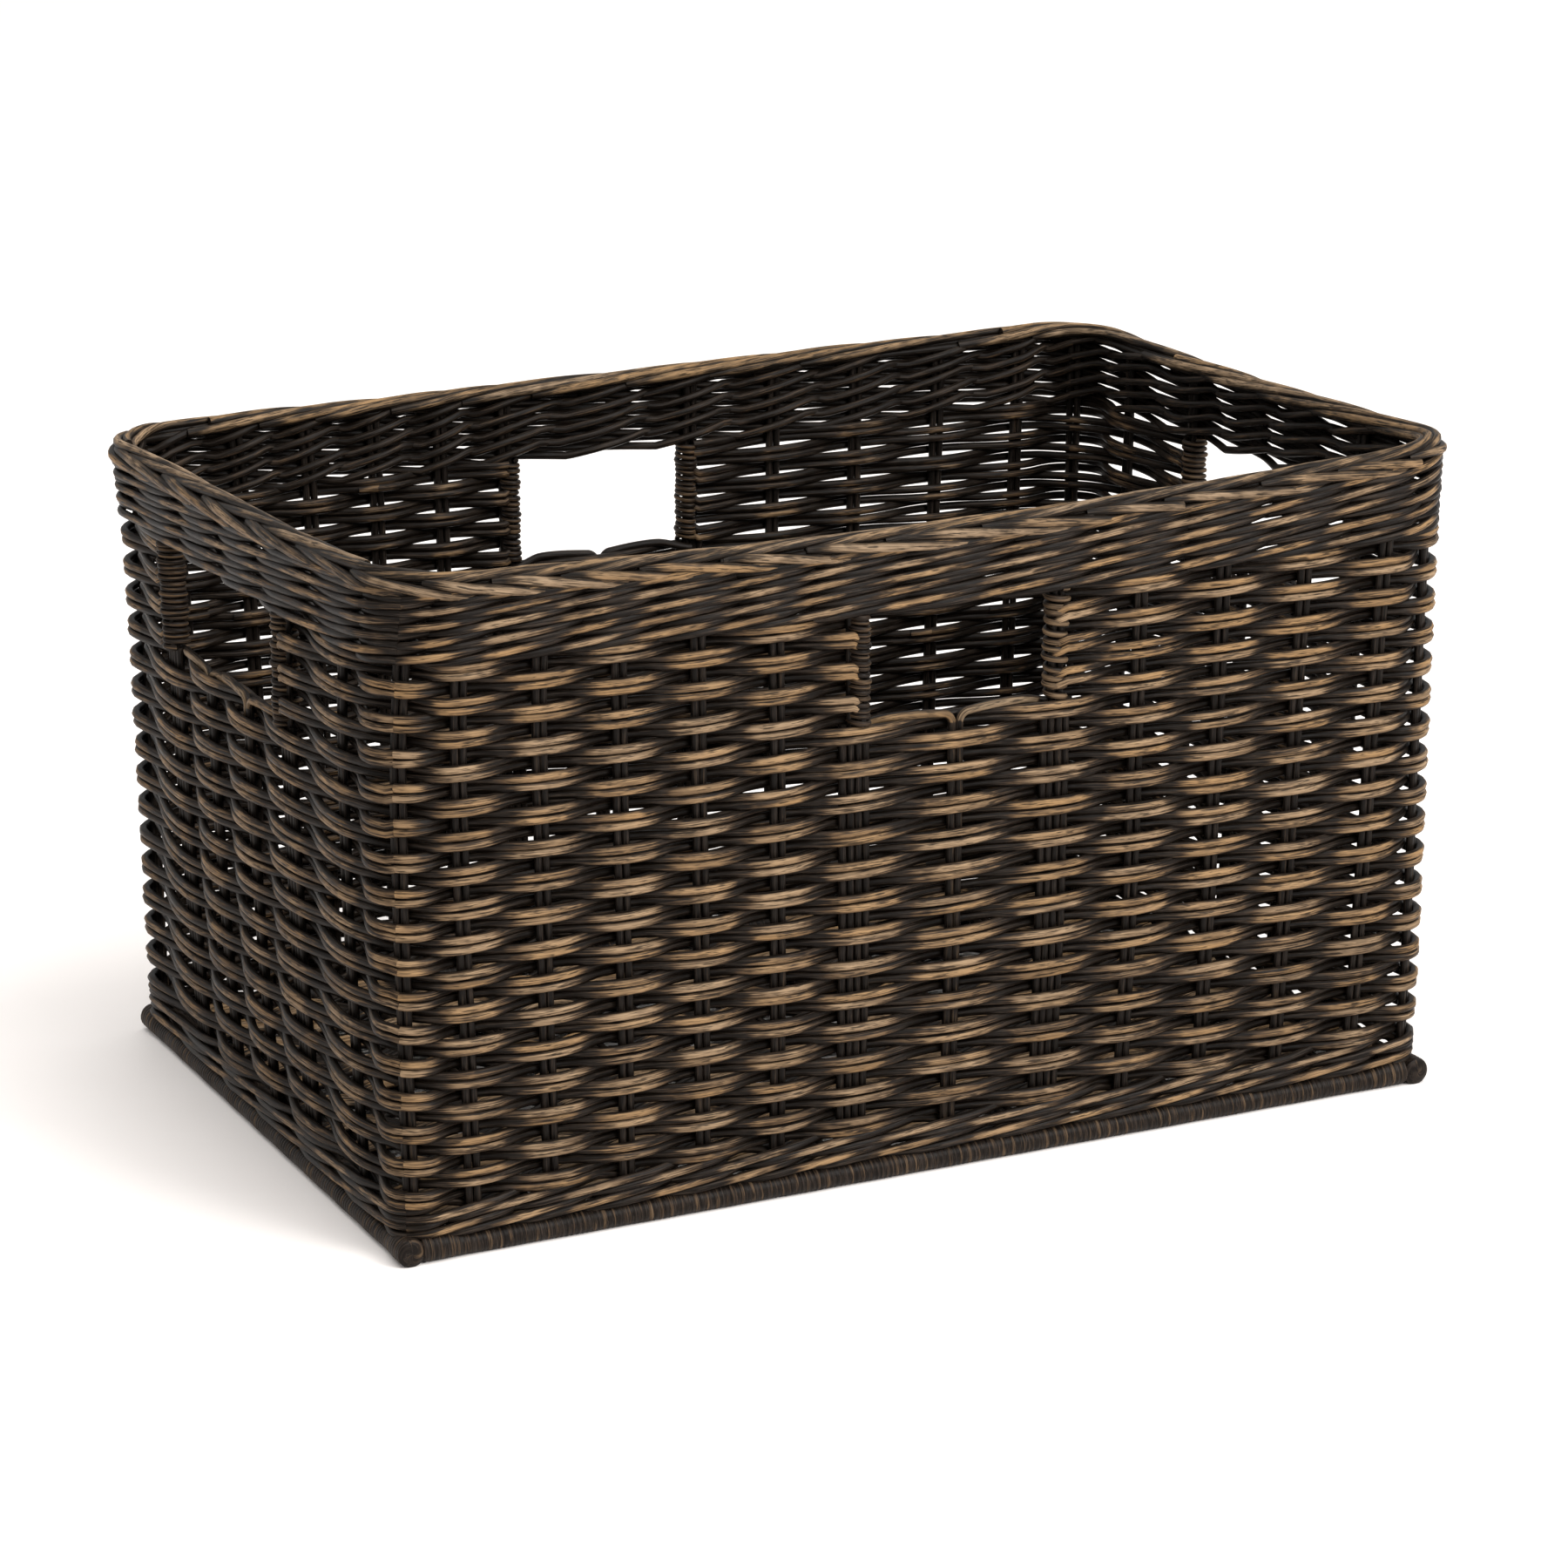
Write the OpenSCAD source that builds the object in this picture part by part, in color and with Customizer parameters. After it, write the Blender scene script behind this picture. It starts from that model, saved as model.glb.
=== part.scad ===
// Rectangular log basket of woven rattan with a hand hole in each of its four sides.
// Origin at the middle of the footprint, X along the long sides, front towards -Y, Z up.
// Doubled rods that are woven as one are drawn as one flat band.

/* [Basket] */
// Length over the outside of the weave
basket_l = 610; // [560:1:660]
// Depth over the outside of the weave
basket_w = 420; // [380:1:460]
// Height from the floor to the top of the rim
basket_h = 362; // [355:1:390]
// Plan radius of the corners, at the middle of the wall
corner_r = 22; // [18:1:26]

/* [Rods] */
// Diameter of an upright stake rod
stake_d = 4.4; // [4:0.1:4.6]
// Thickness of a band of doubled weaving rods
weaver_t = 4.7; // [4.2:0.1:4.8]
// Diameter of a wale rod
wale_d = 3.9; // [3.4:0.1:4]
// Diameter of one strand of the rim border
border_d = 9; // [7:0.5:9]

/* [Weave] */
// Courses of doubled rods in the body of the wall
courses = 32; // [28:1:36]
// Courses that stop at the hand holes
hole_courses = 7; // [5:1:8]
// Rows of three-rod wale above the hand holes
top_wale_rows = 4; // [4:1:5]
// Rows of three-rod wale on the base frame
bottom_wale_rows = 2; // [1:1:3]
// Height of one row of wale
wale_row_h = 8; // [7.8:0.1:8.4]

/* [Hand holes] */
// Distance between the two jamb stakes of a front or back hole
long_side_gap = 114; // [100:1:120]
// Distance between the two jamb stakes of a left or right hole
short_side_gap = 180; // [160:1:190]
// Distance of the front hole from the middle, to the right seen from outside
front_shift = 8; // [0:1:16]
// Distance of the back hole from the middle, to the right seen from outside
back_shift = 14; // [0:1:16]
// Distance of the left and right holes from the middle, to the left seen from outside
short_side_shift = 20; // [0:1:24]

/* [Base] */
// Diameter of a base frame pole without its binding
pole_d = 10.4; // [9:0.1:11]
// Thickness of the binding on the poles
binding_t = 1.1; // [0.9:0.1:1.4]
// Depth of the worn flat under the binding, which the basket stands on
worn_flat = 0.35; // [0.2:0.05:0.5]
// Diameter of a rod of the base sticks
base_stick_d = 5; // [4:0.1:5]
// Rows of weave across the bottom
base_rows = 22; // [18:1:24]

/* [Hidden] */
$fn = 32;
SIDES = ["front", "right", "back", "left"];

DARK_RATTAN = "#2b211c";
RUBBED_RATTAN = "#6b5236";
BORDER_RATTAN = "#7a5d3c";
BINDING_PEEL = "#231c19";

gap = 0.1;
// The wall: a stake in the middle and a weaving band on either face of it
band_offset = stake_d / 2 + weaver_t / 2 + gap;
wall_half_t = band_offset + weaver_t / 2;
half_l = basket_l / 2 - wall_half_t;
half_w = basket_w / 2 - wall_half_t;
// A corner stake stands in the middle of the corner's quarter turn
corner_inset = corner_r * (1 - sin(45));

binding_r = pole_d / 2 + binding_t;
pole_z = binding_r - worn_flat;
frame_top = pole_z + binding_r + 4 * gap;
border_h = 16;
border_spread = 7.5;
body_z = frame_top + bottom_wale_rows * wale_row_h;
top_wale_z = basket_h - border_h - top_wale_rows * wale_row_h;
course_h = (top_wale_z - body_z) / courses;
sill_z = body_z + (courses - hole_courses) * course_h;
// The stakes stand on the base frame and end between the strands of the border
stake_z = frame_top - 2 * gap;
stake_top = basket_h - border_h + 5;
wale_offset = stake_d / 2 + wale_d / 2 + gap;
// The bottom: weave over and under the base sticks, a little clear of the floor
base_z = pole_z + 1.4;
base_band_t = 2.6;
base_band_flat = base_stick_d + 1.4;
base_offset = base_stick_d / 2 + base_band_t / 2 + gap;

// Half length of a band's flat where it passes over a pair of stake rods
band_flat = stake_d + 1.4;
// Distance from a jamb stake to the end of a band beside a hand hole
band_end = 7.9;
hole_binding_t = 3;
hole_coils = 12;
// Radius of the bend where a cut stake is laid over along the sill
sill_bend_r = 6;
// Angle of a corner's turn at which one side's rods end, behind the corner stake
side_end_angle = 44.5;
// Angle of a corner's turn at which a band has reached its place over the corner stake
corner_flat_angle = 28;
// A gap beside a corner is narrower than the gaps between the other stakes
corner_gap_ratio = 0.7;

// Stakes between a hole's jamb and the corner before it or after it, going round the basket,
// and the stakes that are cut under the hole
STAKES_BEFORE = [5, 0, 4, 0];
STAKES_AFTER = [4, 1, 5, 1];
CUT_STAKES = [1, 2, 1, 2];
HOLE_GAP = [long_side_gap, short_side_gap, long_side_gap, short_side_gap];
HOLE_SHIFT = [front_shift, -short_side_shift, back_shift, -short_side_shift];

// A side is drawn as if it were the front one, then turned into place
function reach(s) = s % 2 == 0 ? half_l : half_w;
function setback(s) = s % 2 == 0 ? half_w : half_l;
function corner_u(s) = reach(s) - corner_inset;
function jamb_a(s) = HOLE_SHIFT[s] - HOLE_GAP[s] / 2;
function jamb_b(s) = HOLE_SHIFT[s] + HOLE_GAP[s] / 2;
function pitch_before(s) = (corner_u(s) + jamb_a(s)) / (STAKES_BEFORE[s] + corner_gap_ratio);
function pitch_after(s) = (corner_u(s) - jamb_b(s)) / (STAKES_AFTER[s] + corner_gap_ratio);
function stakes_before(s) = [
  for (k = [STAKES_BEFORE[s]:-1:1]) jamb_a(s) - k * pitch_before(s)
];
function stakes_after(s) = [
  for (k = [1:1:STAKES_AFTER[s]]) jamb_b(s) + k * pitch_after(s)
];
function cut_stakes(s) = [
  for (k = [1:1:CUT_STAKES[s]]) jamb_a(s) + k * HOLE_GAP[s] / (CUT_STAKES[s] + 1)
];
function full_stakes(s) = concat(stakes_before(s), [jamb_a(s), jamb_b(s)], stakes_after(s));
function all_stakes(s) = concat(
  [-corner_u(s)], stakes_before(s), [jamb_a(s)], cut_stakes(s), [jamb_b(s)], stakes_after(s),
  [corner_u(s)]
);
function side_count(s) = len(all_stakes(s)) - 1;
// Stakes passed, going round the basket, before this side's first corner stake
function passed(s) = s == 0 ? 0 : passed(s - 1) + side_count(s - 1);
// A band lies outside every other stake, and the next course lies outside the rest
function over(s, i, course) = (passed(s) + i + course) % 2 == 0 ? 1 : -1;

// A knot of a band's path: place, outward direction and distance from the middle of the wall
function wall_knot(s, u, d) = [[u, -setback(s)], [0, -1], d];
function corner_knot(s, end, angle, d) = [
  [end * (reach(s) - corner_r + corner_r * sin(angle)),
   -(setback(s) - corner_r) - corner_r * cos(angle)],
  [end * sin(angle), -cos(angle)],
  d
];
// Distance from the middle of the wall where the corner's turn starts, between two stakes
function turn_start_offset(s, i, last, course) =
  let(run = reach(s) - corner_r - abs(all_stakes(s)[i]) - band_flat)
  let(rest = corner_r * corner_flat_angle * PI / 180)
  band_offset * (over(s, i, course) * rest + over(s, last, course) * run) / (run + rest);
function first_corner_knots(s, course) = let(d = band_offset * over(s, 0, course)) [
  corner_knot(s, -1, side_end_angle, d),
  corner_knot(s, -1, corner_flat_angle, d),
  corner_knot(s, -1, 0, turn_start_offset(s, 1, 0, course))
];
function last_corner_knots(s, course) = let(n = side_count(s), d = band_offset * over(s, n, course)) [
  corner_knot(s, 1, 0, turn_start_offset(s, n - 1, n, course)),
  corner_knot(s, 1, corner_flat_angle, d),
  corner_knot(s, 1, side_end_angle, d)
];
function stake_knots(s, i, course) = let(u = all_stakes(s)[i], d = band_offset * over(s, i, course)) [
  wall_knot(s, u - band_flat, d),
  wall_knot(s, u + band_flat, d)
];
// Knots of the stakes from number i to number j of a side
function run_knots(s, i, j, course) = [
  for (k = [i:1:j]) each stake_knots(s, k, course)
];
function band_points(knots) = concat(
  [for (k = knots) k[0] + k[1] * (k[2] + weaver_t / 2)],
  [for (k = [len(knots) - 1:-1:0]) knots[k][0] + knots[k][1] * (knots[k][2] - weaver_t / 2)]
);

// Turn a side's own drawing into its place on the basket
module on_side(s) {
  rotate([0, 0, 90 * s]) children();
}

// One woven band, one course high
module band(knots, course) {
  translate([0, 0, body_z + course * course_h])
    linear_extrude(course_h - gap) polygon(band_points(knots));
}

// A round rod along a whole side with half a turn at each corner, off the middle of the wall
module side_rod(s, d, offset, z) {
  straight = reach(s) - corner_r;
  translate([-straight, -setback(s) - offset, z])
    rotate([0, 90, 0]) cylinder(d = d, h = 2 * straight);
  for (end = [0, 1])
    mirror([end, 0, 0])
      translate([straight, corner_r - setback(s), z])
        rotate([0, 0, -90])
          rotate_extrude(angle = side_end_angle)
            translate([corner_r + offset, 0]) circle(d = d);
}

// Two upright rods side by side
module stake_pair(s, u, turn = 0, inset = 0) {
  translate([u, inset - setback(s), stake_z])
    rotate([0, 0, turn])
      for (side = [-1, 1])
        translate([side * (stake_d + gap) / 2, 0, 0])
          cylinder(d = stake_d, h = stake_top - stake_z);
}

// One rod of a cut stake: upright, then bent over and laid along the sill
module bent_rod(s, u, direction, sill_end) {
  lie_z = sill_z + gap + stake_d / 2;
  bend_z = lie_z - sill_bend_r;
  rod_u = u + direction * (stake_d + gap) / 2;
  bend_u = rod_u + direction * sill_bend_r;
  translate([rod_u, -setback(s), stake_z]) cylinder(d = stake_d, h = bend_z - stake_z);
  translate([bend_u, -setback(s), bend_z])
    rotate([90, 0, 0])
      rotate([0, 0, direction > 0 ? 90 : 0])
        rotate_extrude(angle = 90) translate([sill_bend_r, 0]) circle(d = stake_d);
  translate([min(bend_u, sill_end), -setback(s), lie_z])
    rotate([0, 90, 0]) cylinder(d = stake_d, h = abs(sill_end - bend_u));
}

// A flat oval, two rods wide, used inside and outside a hand hole's binding
module oval(r, h) {
  half = (stake_d + gap) / 2;
  for (side = [-1, 1]) translate([side * half, 0, 0]) cylinder(r = r, h = h);
  translate([-half, -r, 0]) cube([2 * half, 2 * r, h]);
}

// The binding wound round one jamb stake of a hand hole
module hole_binding(s, u) {
  coil_h = (top_wale_z - sill_z) / hole_coils;
  color(BINDING_PEEL) on_side(s) for (k = [0:hole_coils - 1])
    translate([u, -setback(s), sill_z + gap + k * coil_h])
      difference() {
        oval(stake_d / 2 + hole_binding_t, coil_h - gap);
        translate([0, 0, -1]) oval(stake_d / 2 + gap / 2, coil_h + 2);
      }
}

module stakes(s) {
  color(DARK_RATTAN) on_side(s) for (u = full_stakes(s)) stake_pair(s, u);
}

module corner_stakes() {
  color(DARK_RATTAN)
    for (s = [0:3]) on_side(s) stake_pair(s, corner_u(s), 45, corner_inset);
}

module cut_stake_group(s) {
  count = CUT_STAKES[s];
  color(DARK_RATTAN) on_side(s)
    for (k = [0:count - 1]) {
      u = cut_stakes(s)[k];
      half_step = HOLE_GAP[s] / (count + 1) / 2;
      to_a = k == 0 ? jamb_a(s) + band_end : u - half_step + gap;
      to_b = k == count - 1 ? jamb_b(s) - band_end : u + half_step - gap;
      bent_rod(s, u, -1, to_a);
      bent_rod(s, u, 1, to_b);
    }
}

module weave_lower(s) {
  color(RUBBED_RATTAN) on_side(s)
    for (c = [0:courses - hole_courses - 1])
      band(concat(first_corner_knots(s, c), run_knots(s, 1, side_count(s) - 1, c),
                  last_corner_knots(s, c)), c);
}

// Courses between the side's left corner and its hand hole, seen from outside
module weave_left_of_hole(s) {
  jamb = STAKES_BEFORE[s] + 1;
  color(RUBBED_RATTAN) on_side(s)
    for (c = [courses - hole_courses:courses - 1])
      band(concat(first_corner_knots(s, c), run_knots(s, 1, jamb - 1, c),
                  [wall_knot(s, jamb_a(s) - band_end, band_offset * over(s, jamb, c))]), c);
}

// Courses between the side's hand hole and its right corner
module weave_right_of_hole(s) {
  jamb = STAKES_BEFORE[s] + CUT_STAKES[s] + 2;
  color(RUBBED_RATTAN) on_side(s)
    for (c = [courses - hole_courses:courses - 1])
      band(concat([wall_knot(s, jamb_b(s) + band_end, band_offset * over(s, jamb, c))],
                  run_knots(s, jamb + 1, side_count(s) - 1, c), last_corner_knots(s, c)), c);
}

// Rows of wale: of each row's three rods, two lie outside the stakes and one inside
module wale(s, z, rows) {
  color(RUBBED_RATTAN) on_side(s)
    for (row = [0:rows - 1]) {
      row_z = z + row * wale_row_h;
      side_rod(s, wale_d, wale_offset, row_z + wale_row_h / 4);
      side_rod(s, wale_d, wale_offset, row_z + wale_row_h * 3 / 4);
      side_rod(s, wale_d, -wale_offset, row_z + wale_row_h / 2);
    }
}

// The border: one strand on each side of the stake tops and one over them
module rim_border(s) {
  low_z = basket_h - border_h + border_d / 2;
  color(BORDER_RATTAN) on_side(s) {
    side_rod(s, border_d, border_spread, low_z);
    side_rod(s, border_d, -border_spread, low_z);
    side_rod(s, border_d, 0, basket_h - border_d / 2);
  }
}

// Left and right poles run the full depth, front and back poles butt in between
function pole_half(s) = s % 2 == 0 ? basket_l / 2 - 2 * binding_r : basket_w / 2;
function pole_setback(s) = (s % 2 == 0 ? basket_w : basket_l) / 2 - binding_r;

module along_pole(s, r, half) {
  on_side(s) translate([-half, -pole_setback(s), pole_z])
    rotate([0, 90, 0]) cylinder(r = r, h = 2 * half);
}

module base_pole(s) {
  color(DARK_RATTAN) along_pole(s, pole_d / 2, pole_half(s));
}

module pole_binding(s) {
  color(BINDING_PEEL) difference() {
    along_pole(s, binding_r, pole_half(s));
    along_pole(s, pole_d / 2 + gap, pole_half(s) + 1);
    on_side(s) translate([-pole_half(s) - 1, -pole_setback(s) - binding_r, -binding_r])
      cube([2 * pole_half(s) + 2, 2 * binding_r, binding_r]);
  }
}

// The base sticks lie between the front stakes and the back ones
function base_stick_us() = [
  for (k = [1:side_count(0) - 1]) all_stakes(0)[k]
];

module base_sticks() {
  half = pole_setback(0) - binding_r - gap;
  color(DARK_RATTAN)
    for (u = base_stick_us(), side = [-1, 1])
      translate([u + side * (base_stick_d + gap) / 2, half, base_z])
        rotate([90, 0, 0]) cylinder(d = base_stick_d, h = 2 * half);
}

module base_weave() {
  half = pole_setback(1) - binding_r - gap;
  row_w = 2 * (pole_setback(0) - binding_r - gap) / base_rows;
  us = base_stick_us();
  last = len(us) - 1;
  color(RUBBED_RATTAN)
    for (row = [0:base_rows - 1]) {
      side = row % 2 == 0 ? 1 : -1;
      path = concat(
        [[-half, side * base_offset]],
        [for (i = [0:last], end = [-1, 1]) [us[i] + end * base_band_flat,
                                                side * (i % 2 * 2 - 1) * base_offset]],
        [[half, side * (1 - last % 2 * 2) * base_offset]]
      );
      outline = concat(
        [for (p = path) p + [0, base_band_t / 2]],
        [for (k = [len(path) - 1:-1:0]) path[k] - [0, base_band_t / 2]]
      );
      translate([0, (row + 1 - base_rows / 2) * row_w - gap, base_z])
        rotate([90, 0, 0]) linear_extrude(row_w - gap) polygon(outline);
    }
}

// Every side has the same kinds of node, each named after its side
for (s = [0:3]) {
  base_pole(s);
  pole_binding(s);
  wale(s, frame_top, bottom_wale_rows);
  stakes(s);
  cut_stake_group(s);
  weave_lower(s);
  weave_left_of_hole(s);
  weave_right_of_hole(s);
  hole_binding(s, jamb_a(s));
  hole_binding(s, jamb_b(s));
  wale(s, top_wale_z, top_wale_rows);
  rim_border(s);
}
base_sticks();
base_weave();
corner_stakes();
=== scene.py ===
"""The looks of a rectangular rattan log basket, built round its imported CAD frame.

Metres, Z up, front towards -Y. Rods follow the wall by a turn count: a number that grows by one at
each stake, going round the basket from the front left corner, anticlockwise seen from above.
Seeds only have to differ from rod to rod: they make the same rods on every run.
"""
import math
from collections import namedtuple

import bpy
import numpy as np
from mathutils import Matrix, Vector


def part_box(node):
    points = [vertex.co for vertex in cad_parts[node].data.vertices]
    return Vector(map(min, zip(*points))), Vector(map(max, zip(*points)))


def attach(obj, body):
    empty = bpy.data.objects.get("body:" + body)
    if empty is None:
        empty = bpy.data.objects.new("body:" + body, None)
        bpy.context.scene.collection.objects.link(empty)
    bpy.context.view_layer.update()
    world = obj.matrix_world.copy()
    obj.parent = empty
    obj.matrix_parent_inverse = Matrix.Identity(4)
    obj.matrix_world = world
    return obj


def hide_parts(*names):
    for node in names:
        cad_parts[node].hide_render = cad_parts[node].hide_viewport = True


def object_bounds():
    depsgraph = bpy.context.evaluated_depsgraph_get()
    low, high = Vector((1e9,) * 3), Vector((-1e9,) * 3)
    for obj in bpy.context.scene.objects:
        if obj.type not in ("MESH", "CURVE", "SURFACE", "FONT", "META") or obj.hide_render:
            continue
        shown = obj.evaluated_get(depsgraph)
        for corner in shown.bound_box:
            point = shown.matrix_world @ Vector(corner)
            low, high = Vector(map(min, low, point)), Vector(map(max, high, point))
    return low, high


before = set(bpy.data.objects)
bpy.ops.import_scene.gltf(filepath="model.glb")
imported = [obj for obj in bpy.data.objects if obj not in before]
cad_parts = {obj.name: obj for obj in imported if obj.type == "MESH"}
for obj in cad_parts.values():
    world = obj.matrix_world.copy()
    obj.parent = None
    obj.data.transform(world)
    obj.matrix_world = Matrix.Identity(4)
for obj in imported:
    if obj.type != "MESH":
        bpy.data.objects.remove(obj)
cad_low, cad_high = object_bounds()

MM = 0.001
SIDES = ("front", "right", "back", "left")

# ---------------------------------------------------------------- driving sizes
STAKE_R = 2.15 * MM
WEAVER_R = 2.45 * MM
WALE_R = 2.3 * MM
BORDER_R = 2.75 * MM
BORDER_DEPTH = 5.4 * MM
BASE_ROD_R = 2.1 * MM
COURSES_BELOW_HOLES = 25
HOLE_COURSES = 7
TOP_WALE_ROWS = 4
BOTTOM_WALE_ROWS = 2
BASE_ROWS = 22
# Stakes between a hand hole and the corner to its left or right, and stakes cut under the hole
STAKES_LEFT = (5, 0, 4, 0)
STAKES_RIGHT = (4, 1, 5, 1)
CUT_STAKES = (1, 2, 1, 2)
# The corners are tight on the base frame and open towards the rim
CORNER_R_LOW = 13 * MM
CORNER_R_HIGH = 40 * MM
# How far the middle of each side bellies out, and how far its rim hangs between the corners
BELLY = np.array((3, 4, 3, 4)) * MM
RIM_SAG = np.array((8, 3, 0.5, 1)) * MM
# Height of the rim's corners above the mean: front left, front right, back right, back left
CORNER_RISE = np.array((-3.5, 4, 0, -4.5)) * MM
# How far the rim's corners are out of place, to the right and to the back, in the same order.
# The wall near a corner follows.
CORNER_PUSH = np.array(((12, 3), (4, 0), (0, 0), (-7, 0))) * MM
PUSH_REACH = 120 * MM
# How much wider the basket is at the rim than on its base, all round and more to the right
FLARE = 5 * MM
LEAN_RIGHT = 5.5 * MM
STRETCH_RIGHT = 6.5 * MM
# Slow ups and downs of the courses
UNEVEN = 0.7 * MM
# How far the stain is rubbed off each side, lowered on the left side as painted shade, and a factor on the
# lowest courses' rub that makes the wall darker towards the bottom
SIDE_RUB_AND_SHADE = (1.0, 1.0, 1.0, 0.82)
LOW_COURSES_DARKER = 0.9
# Spacing of a rod's rings, and corners of a ring
RING_STEP = 3 * MM
ROD_SIDES = 10
# Rough distance between stakes, for spacing rings and laying out grain
STAKE_PITCH = 43 * MM


# ---------------------------------------------------------------- places, from the frame
def middle(node):
    low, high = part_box(node)
    return (low + high) / 2


def span_along(node, side):
    """Lowest and highest place of a CAD node along a side, growing to the right seen from outside."""
    low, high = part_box(node)
    ends = (low.x, high.x) if side % 2 == 0 else (low.y, high.y)
    return ends if side < 2 else (-ends[1], -ends[0])


half_w = -middle("front_stakes").y
half_l = middle("right_stakes").x
REACH = np.array((half_l, half_w, half_l, half_w))
SETBACK = np.array((half_w, half_l, half_w, half_l))
CORNERS = np.array(((-1, -1), (1, -1), (1, 1), (-1, 1))) * (half_l, half_w)

body_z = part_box("front_weave_lower")[0].z
sill_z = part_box("front_weave_lower")[1].z
course_h = (sill_z - body_z) / COURSES_BELOW_HOLES
bottom_wale_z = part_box("front_bottom_wale")[0].z
top_wale_z = sill_z + HOLE_COURSES * course_h
rim_top = cad_high.z
rim_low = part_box("front_rim_border")[0].z
rim_core_z = rim_top - BORDER_DEPTH - BORDER_R
stake_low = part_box("front_stakes")[0].z
wale_row_h = (rim_low - top_wale_z) / TOP_WALE_ROWS
stick_r = (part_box("base_sticks")[1].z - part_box("base_sticks")[0].z) / 2


def stake_places(side):
    """Places of a side's stakes between its corners, and of its two hole jambs."""
    name = SIDES[side]
    pair_half = (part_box(name + "_stakes")[1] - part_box(name + "_stakes")[0])[1 - side % 2]
    first, last = span_along(name + "_stakes", side)
    left_jamb = sum(span_along(name + "_hole_binding_left", side)) / 2
    right_jamb = sum(span_along(name + "_hole_binding_right", side)) / 2
    return [
        *np.linspace(first + pair_half, left_jamb, STAKES_LEFT[side] + 1),
        *np.linspace(left_jamb, right_jamb, CUT_STAKES[side] + 2)[1:-1],
        *np.linspace(right_jamb, last - pair_half, STAKES_RIGHT[side] + 1),
    ]


PLACES = [stake_places(side) for side in range(4)]
START = np.concatenate(([0], np.cumsum([len(places) + 1 for places in PLACES])))
TURN = int(START[4])
LEFT_JAMB = [int(START[s]) + STAKES_LEFT[s] + 1 for s in range(4)]
RIGHT_JAMB = [LEFT_JAMB[s] + CUT_STAKES[s] + 1 for s in range(4)]

# The distance round the wall to each stake is a fixed part plus a share of the corner radius,
# because a rounded corner is shorter than a square one.
SHORTER = math.pi / 2 - 2
SIDE_BASE = np.concatenate(([0], np.cumsum(2 * REACH)))
SIDE_SHARE = SHORTER * np.arange(5)
STAKE_NUMBERS = np.arange(TURN + 1)


def stake_distances():
    """The fixed part and the share of the corner radius of the distance to each stake."""
    fixed, share = [], []
    for side, places in enumerate(PLACES):
        fixed.append(SIDE_BASE[side])
        share.append(SIDE_SHARE[side])
        fixed.extend(SIDE_BASE[side] + REACH[side] + place for place in places)
        share.extend([SIDE_SHARE[side] + SHORTER / 2] * len(places))
    return [*fixed, SIDE_BASE[4]], [*share, SIDE_SHARE[4]]


FIXED_PART, RADIUS_SHARE = stake_distances()


# ---------------------------------------------------------------- the wall
def height_share(z):
    """0 at the foot of the wall, 1 at its top."""
    return np.clip((z - bottom_wale_z) / (rim_top - bottom_wale_z), 0, 1)


def corner_radius(share):
    """Tight at the foot of the wall, and opening towards the rim."""
    return CORNER_R_LOW + (CORNER_R_HIGH - CORNER_R_LOW) * share ** 1.3


def lean_and_push(points, share):
    """Moves points of a straight basket to where the leaning wall and its pushed corners are."""
    points[..., 0] += share * (LEAN_RIGHT + STRETCH_RIGHT * points[..., 0] / half_l)
    away = np.linalg.norm(points[..., None, :2] - CORNERS, axis=-1)
    push = share[..., None] ** 6 * np.exp(-(away / PUSH_REACH) ** 2)
    points[..., :2] += push @ CORNER_PUSH


def rim_level(side, place, z):
    """How far the wall is stretched up or down at a place from -1 to 1 along a side."""
    left, right = CORNER_RISE[side], CORNER_RISE[(side + 1) % 4]
    level = (left * (1 - place) + right * (1 + place)) / 2
    near_rim = np.clip((z - sill_z) / (rim_core_z - sill_z), 0, 1) ** 2
    return (level - RIM_SAG[side] * (1 - place ** 2)) * near_rim


def wall_at(turn, z):
    """Points on the middle of the wall, and the outward directions there."""
    turn, z = np.broadcast_arrays(np.asarray(turn, float), np.asarray(z, float))
    turn = np.mod(turn, TURN)
    share = height_share(z)
    radius = corner_radius(share)
    distance = np.interp(turn, STAKE_NUMBERS, FIXED_PART)
    distance = distance + np.interp(turn, STAKE_NUMBERS, RADIUS_SHARE) * radius
    side = np.clip(np.searchsorted(START, turn, side="right") - 1, 0, 3)
    straight = REACH[side] - radius
    half_length = straight + radius * math.pi / 4
    along = distance - SIDE_BASE[side] - SIDE_SHARE[side] * radius - half_length
    angle = np.clip((np.abs(along) - straight) / radius, 0, None)
    hand = np.sign(along)
    u = np.where(angle > 0, hand * (straight + radius * np.sin(angle)), along)
    depth = SETBACK[side] - radius * (1 - np.cos(angle))
    place = np.clip(along / half_length, -1, 1)
    depth = depth + FLARE * share
    u = u * (1 + FLARE / REACH[side] * share)
    depth = depth + BELLY[side] * np.sin(math.pi * share ** 0.8) * (1 - place ** 2)
    uneven = UNEVEN * np.sin(1.1 * turn + 31 * z) * np.sin(math.pi * share)
    height = z + rim_level(side, place, z) + uneven
    cosine = np.array((1, 0, -1, 0))[side]
    sine = np.array((0, 1, 0, -1))[side]
    out_u = hand * np.sin(angle)
    out_d = np.cos(angle)
    points = np.stack((cosine * u + sine * depth, sine * u - cosine * depth, height), -1)
    outward = np.stack((cosine * out_u + sine * out_d, sine * out_u - cosine * out_d, 0 * z), -1)
    lean_and_push(points, share)
    return points, outward


def rightward(outward):
    """The level direction along the wall, to the right seen from outside."""
    return np.stack((-outward[..., 1], outward[..., 0], 0 * outward[..., 2]), -1)


def turns(first, last, step=RING_STEP):
    """Turn counts from first to last about a ring apart, with one more beyond each end."""
    count = max(2, round(abs(last - first) * STAKE_PITCH / step))
    spacing = (last - first) / count
    return np.linspace(first - spacing, last + spacing, count + 3)


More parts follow.
